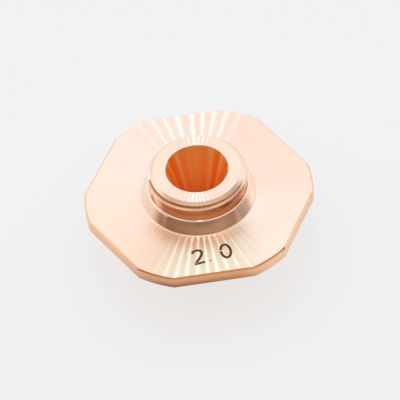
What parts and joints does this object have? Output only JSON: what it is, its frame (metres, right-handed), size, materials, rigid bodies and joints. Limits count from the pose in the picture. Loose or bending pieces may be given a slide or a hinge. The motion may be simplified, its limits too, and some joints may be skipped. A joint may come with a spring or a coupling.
{
  "type": "hexagonal cutting nozzle",
  "caption": "Turned copper cutting nozzle: a thin flange with spanner flats, a short threaded spigot, a long tapered passage and a conical tip.",
  "frame": {"origin": "centre of the orifice in the flat tip face, which is the lowest point", "axes": "+Z along the nozzle's axis from the tip to the threaded end; one spanner flat faces -Y"},
  "size_m": [0.032, 0.03, 0.015],
  "materials": {
    "copper": "bare copper, fine turned, with a bright lathe sheen"
  },
  "bodies": {
    "root": {"nozzle": "copper"}
  },
  "joints": []
}
